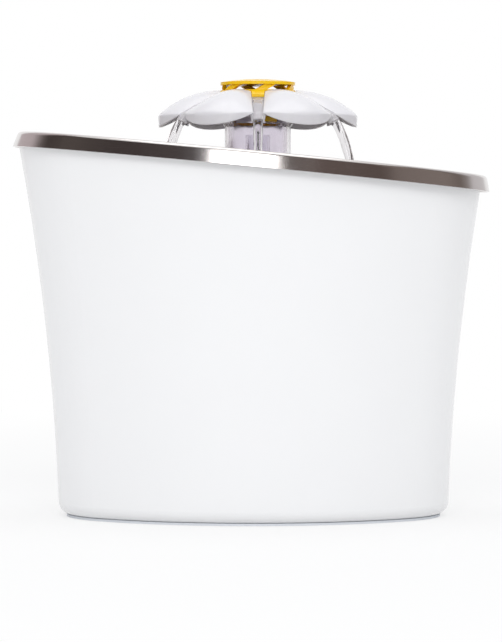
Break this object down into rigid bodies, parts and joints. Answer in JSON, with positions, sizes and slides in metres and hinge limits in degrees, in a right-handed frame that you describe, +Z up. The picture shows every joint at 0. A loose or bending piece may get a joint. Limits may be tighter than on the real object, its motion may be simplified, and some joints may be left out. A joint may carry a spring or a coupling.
{
  "type": "pet water fountain",
  "caption": "Flared oval water tank with a slanted steel drinking tray, clear tower and white flower spout; pump and filter inside lift out for cleaning.",
  "frame": {"origin": "on the surface that it stands on, under the middle of the oval base", "axes": "+X along the oval towards the low end of the rim, +Y to the back, +Z up"},
  "size_m": [0.2502, 0.1948, 0.2293],
  "materials": {
    "white_shell": "gloss",
    "white_flower": "gloss",
    "yellow_centre": "gloss",
    "clear_plastic": "clear",
    "steel": "polished with a fine grain",
    "pad_rubber": "matt",
    "dark_rubber": "matt",
    "clear_silicone": "satin",
    "pump_plastic": "matt",
    "white_plastic": "satin",
    "grey_plastic": "satin",
    "impeller_plastic": "satin",
    "magnet": "ground",
    "shaft_steel": "ground",
    "sponge": "open foam",
    "carbon": "felt over granules",
    "foam": "fine foam"
  },
  "bodies": {
    "reservoir": {"reservoir_shell": "white_shell", "base_pad": "pad_rubber", "inlet_gland": "dark_rubber", "inlet_nut": "grey_plastic", "pump_housing": "pump_plastic", "pump_gland": "dark_rubber", "suction_cups": "dark_rubber", "chamber_cap": "grey_plastic", "shaft_bushes": "dark_rubber", "impeller_shaft": "shaft_steel"},
    "impeller": {"impeller_wheel": "impeller_plastic", "rotor_magnet": "magnet"},
    "pump_cover": {"intake_cover": "pump_plastic", "intake_sponge": "sponge"},
    "flow_dial": {"flow_dial": "grey_plastic"},
    "tray": {"steel_tray": "steel", "tower_seal": "clear_silicone", "tower_tube": "clear_plastic", "tower_nut": "white_plastic", "riser_tube": "clear_plastic", "riser_sleeve": "clear_silicone", "filter_holder": "white_plastic"},
    "filter": {"filter_frame": "white_plastic", "carbon_pad": "carbon", "foam_pad": "foam"},
    "flower": {"flower_petals": "white_flower", "flower_stem": "clear_plastic"},
    "flower_center": {"flower_center": "yellow_centre"}
  },
  "joints": [
    {"name": "impeller_spin", "type": "hinge", "parent": "reservoir", "child": "impeller", "pos_m": [0.0023, 0, 0.028], "axis": [1, 0, 0], "continuous": true},
    {"name": "pump_cover_pull", "type": "slide", "parent": "reservoir", "child": "pump_cover", "axis": [-1, 0, 0], "range_m": [0, 0.025]},
    {"name": "flow_dial_turn", "type": "hinge", "parent": "pump_cover", "child": "flow_dial", "pos_m": [-0.0239, 0, 0.028], "axis": [1, 0, 0], "range_deg": [0, 60]},
    {"name": "tray_lift", "type": "slide", "parent": "reservoir", "child": "tray", "axis": [0, 0, 1], "range_m": [0, 0.17]},
    {"name": "filter_pull", "type": "slide", "parent": "tray", "child": "filter", "axis": [-0.095, 0, -0.9955], "range_m": [0, 0.03]},
    {"name": "flower_lift", "type": "slide", "parent": "tray", "child": "flower", "axis": [0, 0, 1], "range_m": [0, 0.04]},
    {"name": "flower_center_lift", "type": "slide", "parent": "flower", "child": "flower_center", "axis": [0, 0, 1], "range_m": [0, 0.022]}
  ]
}
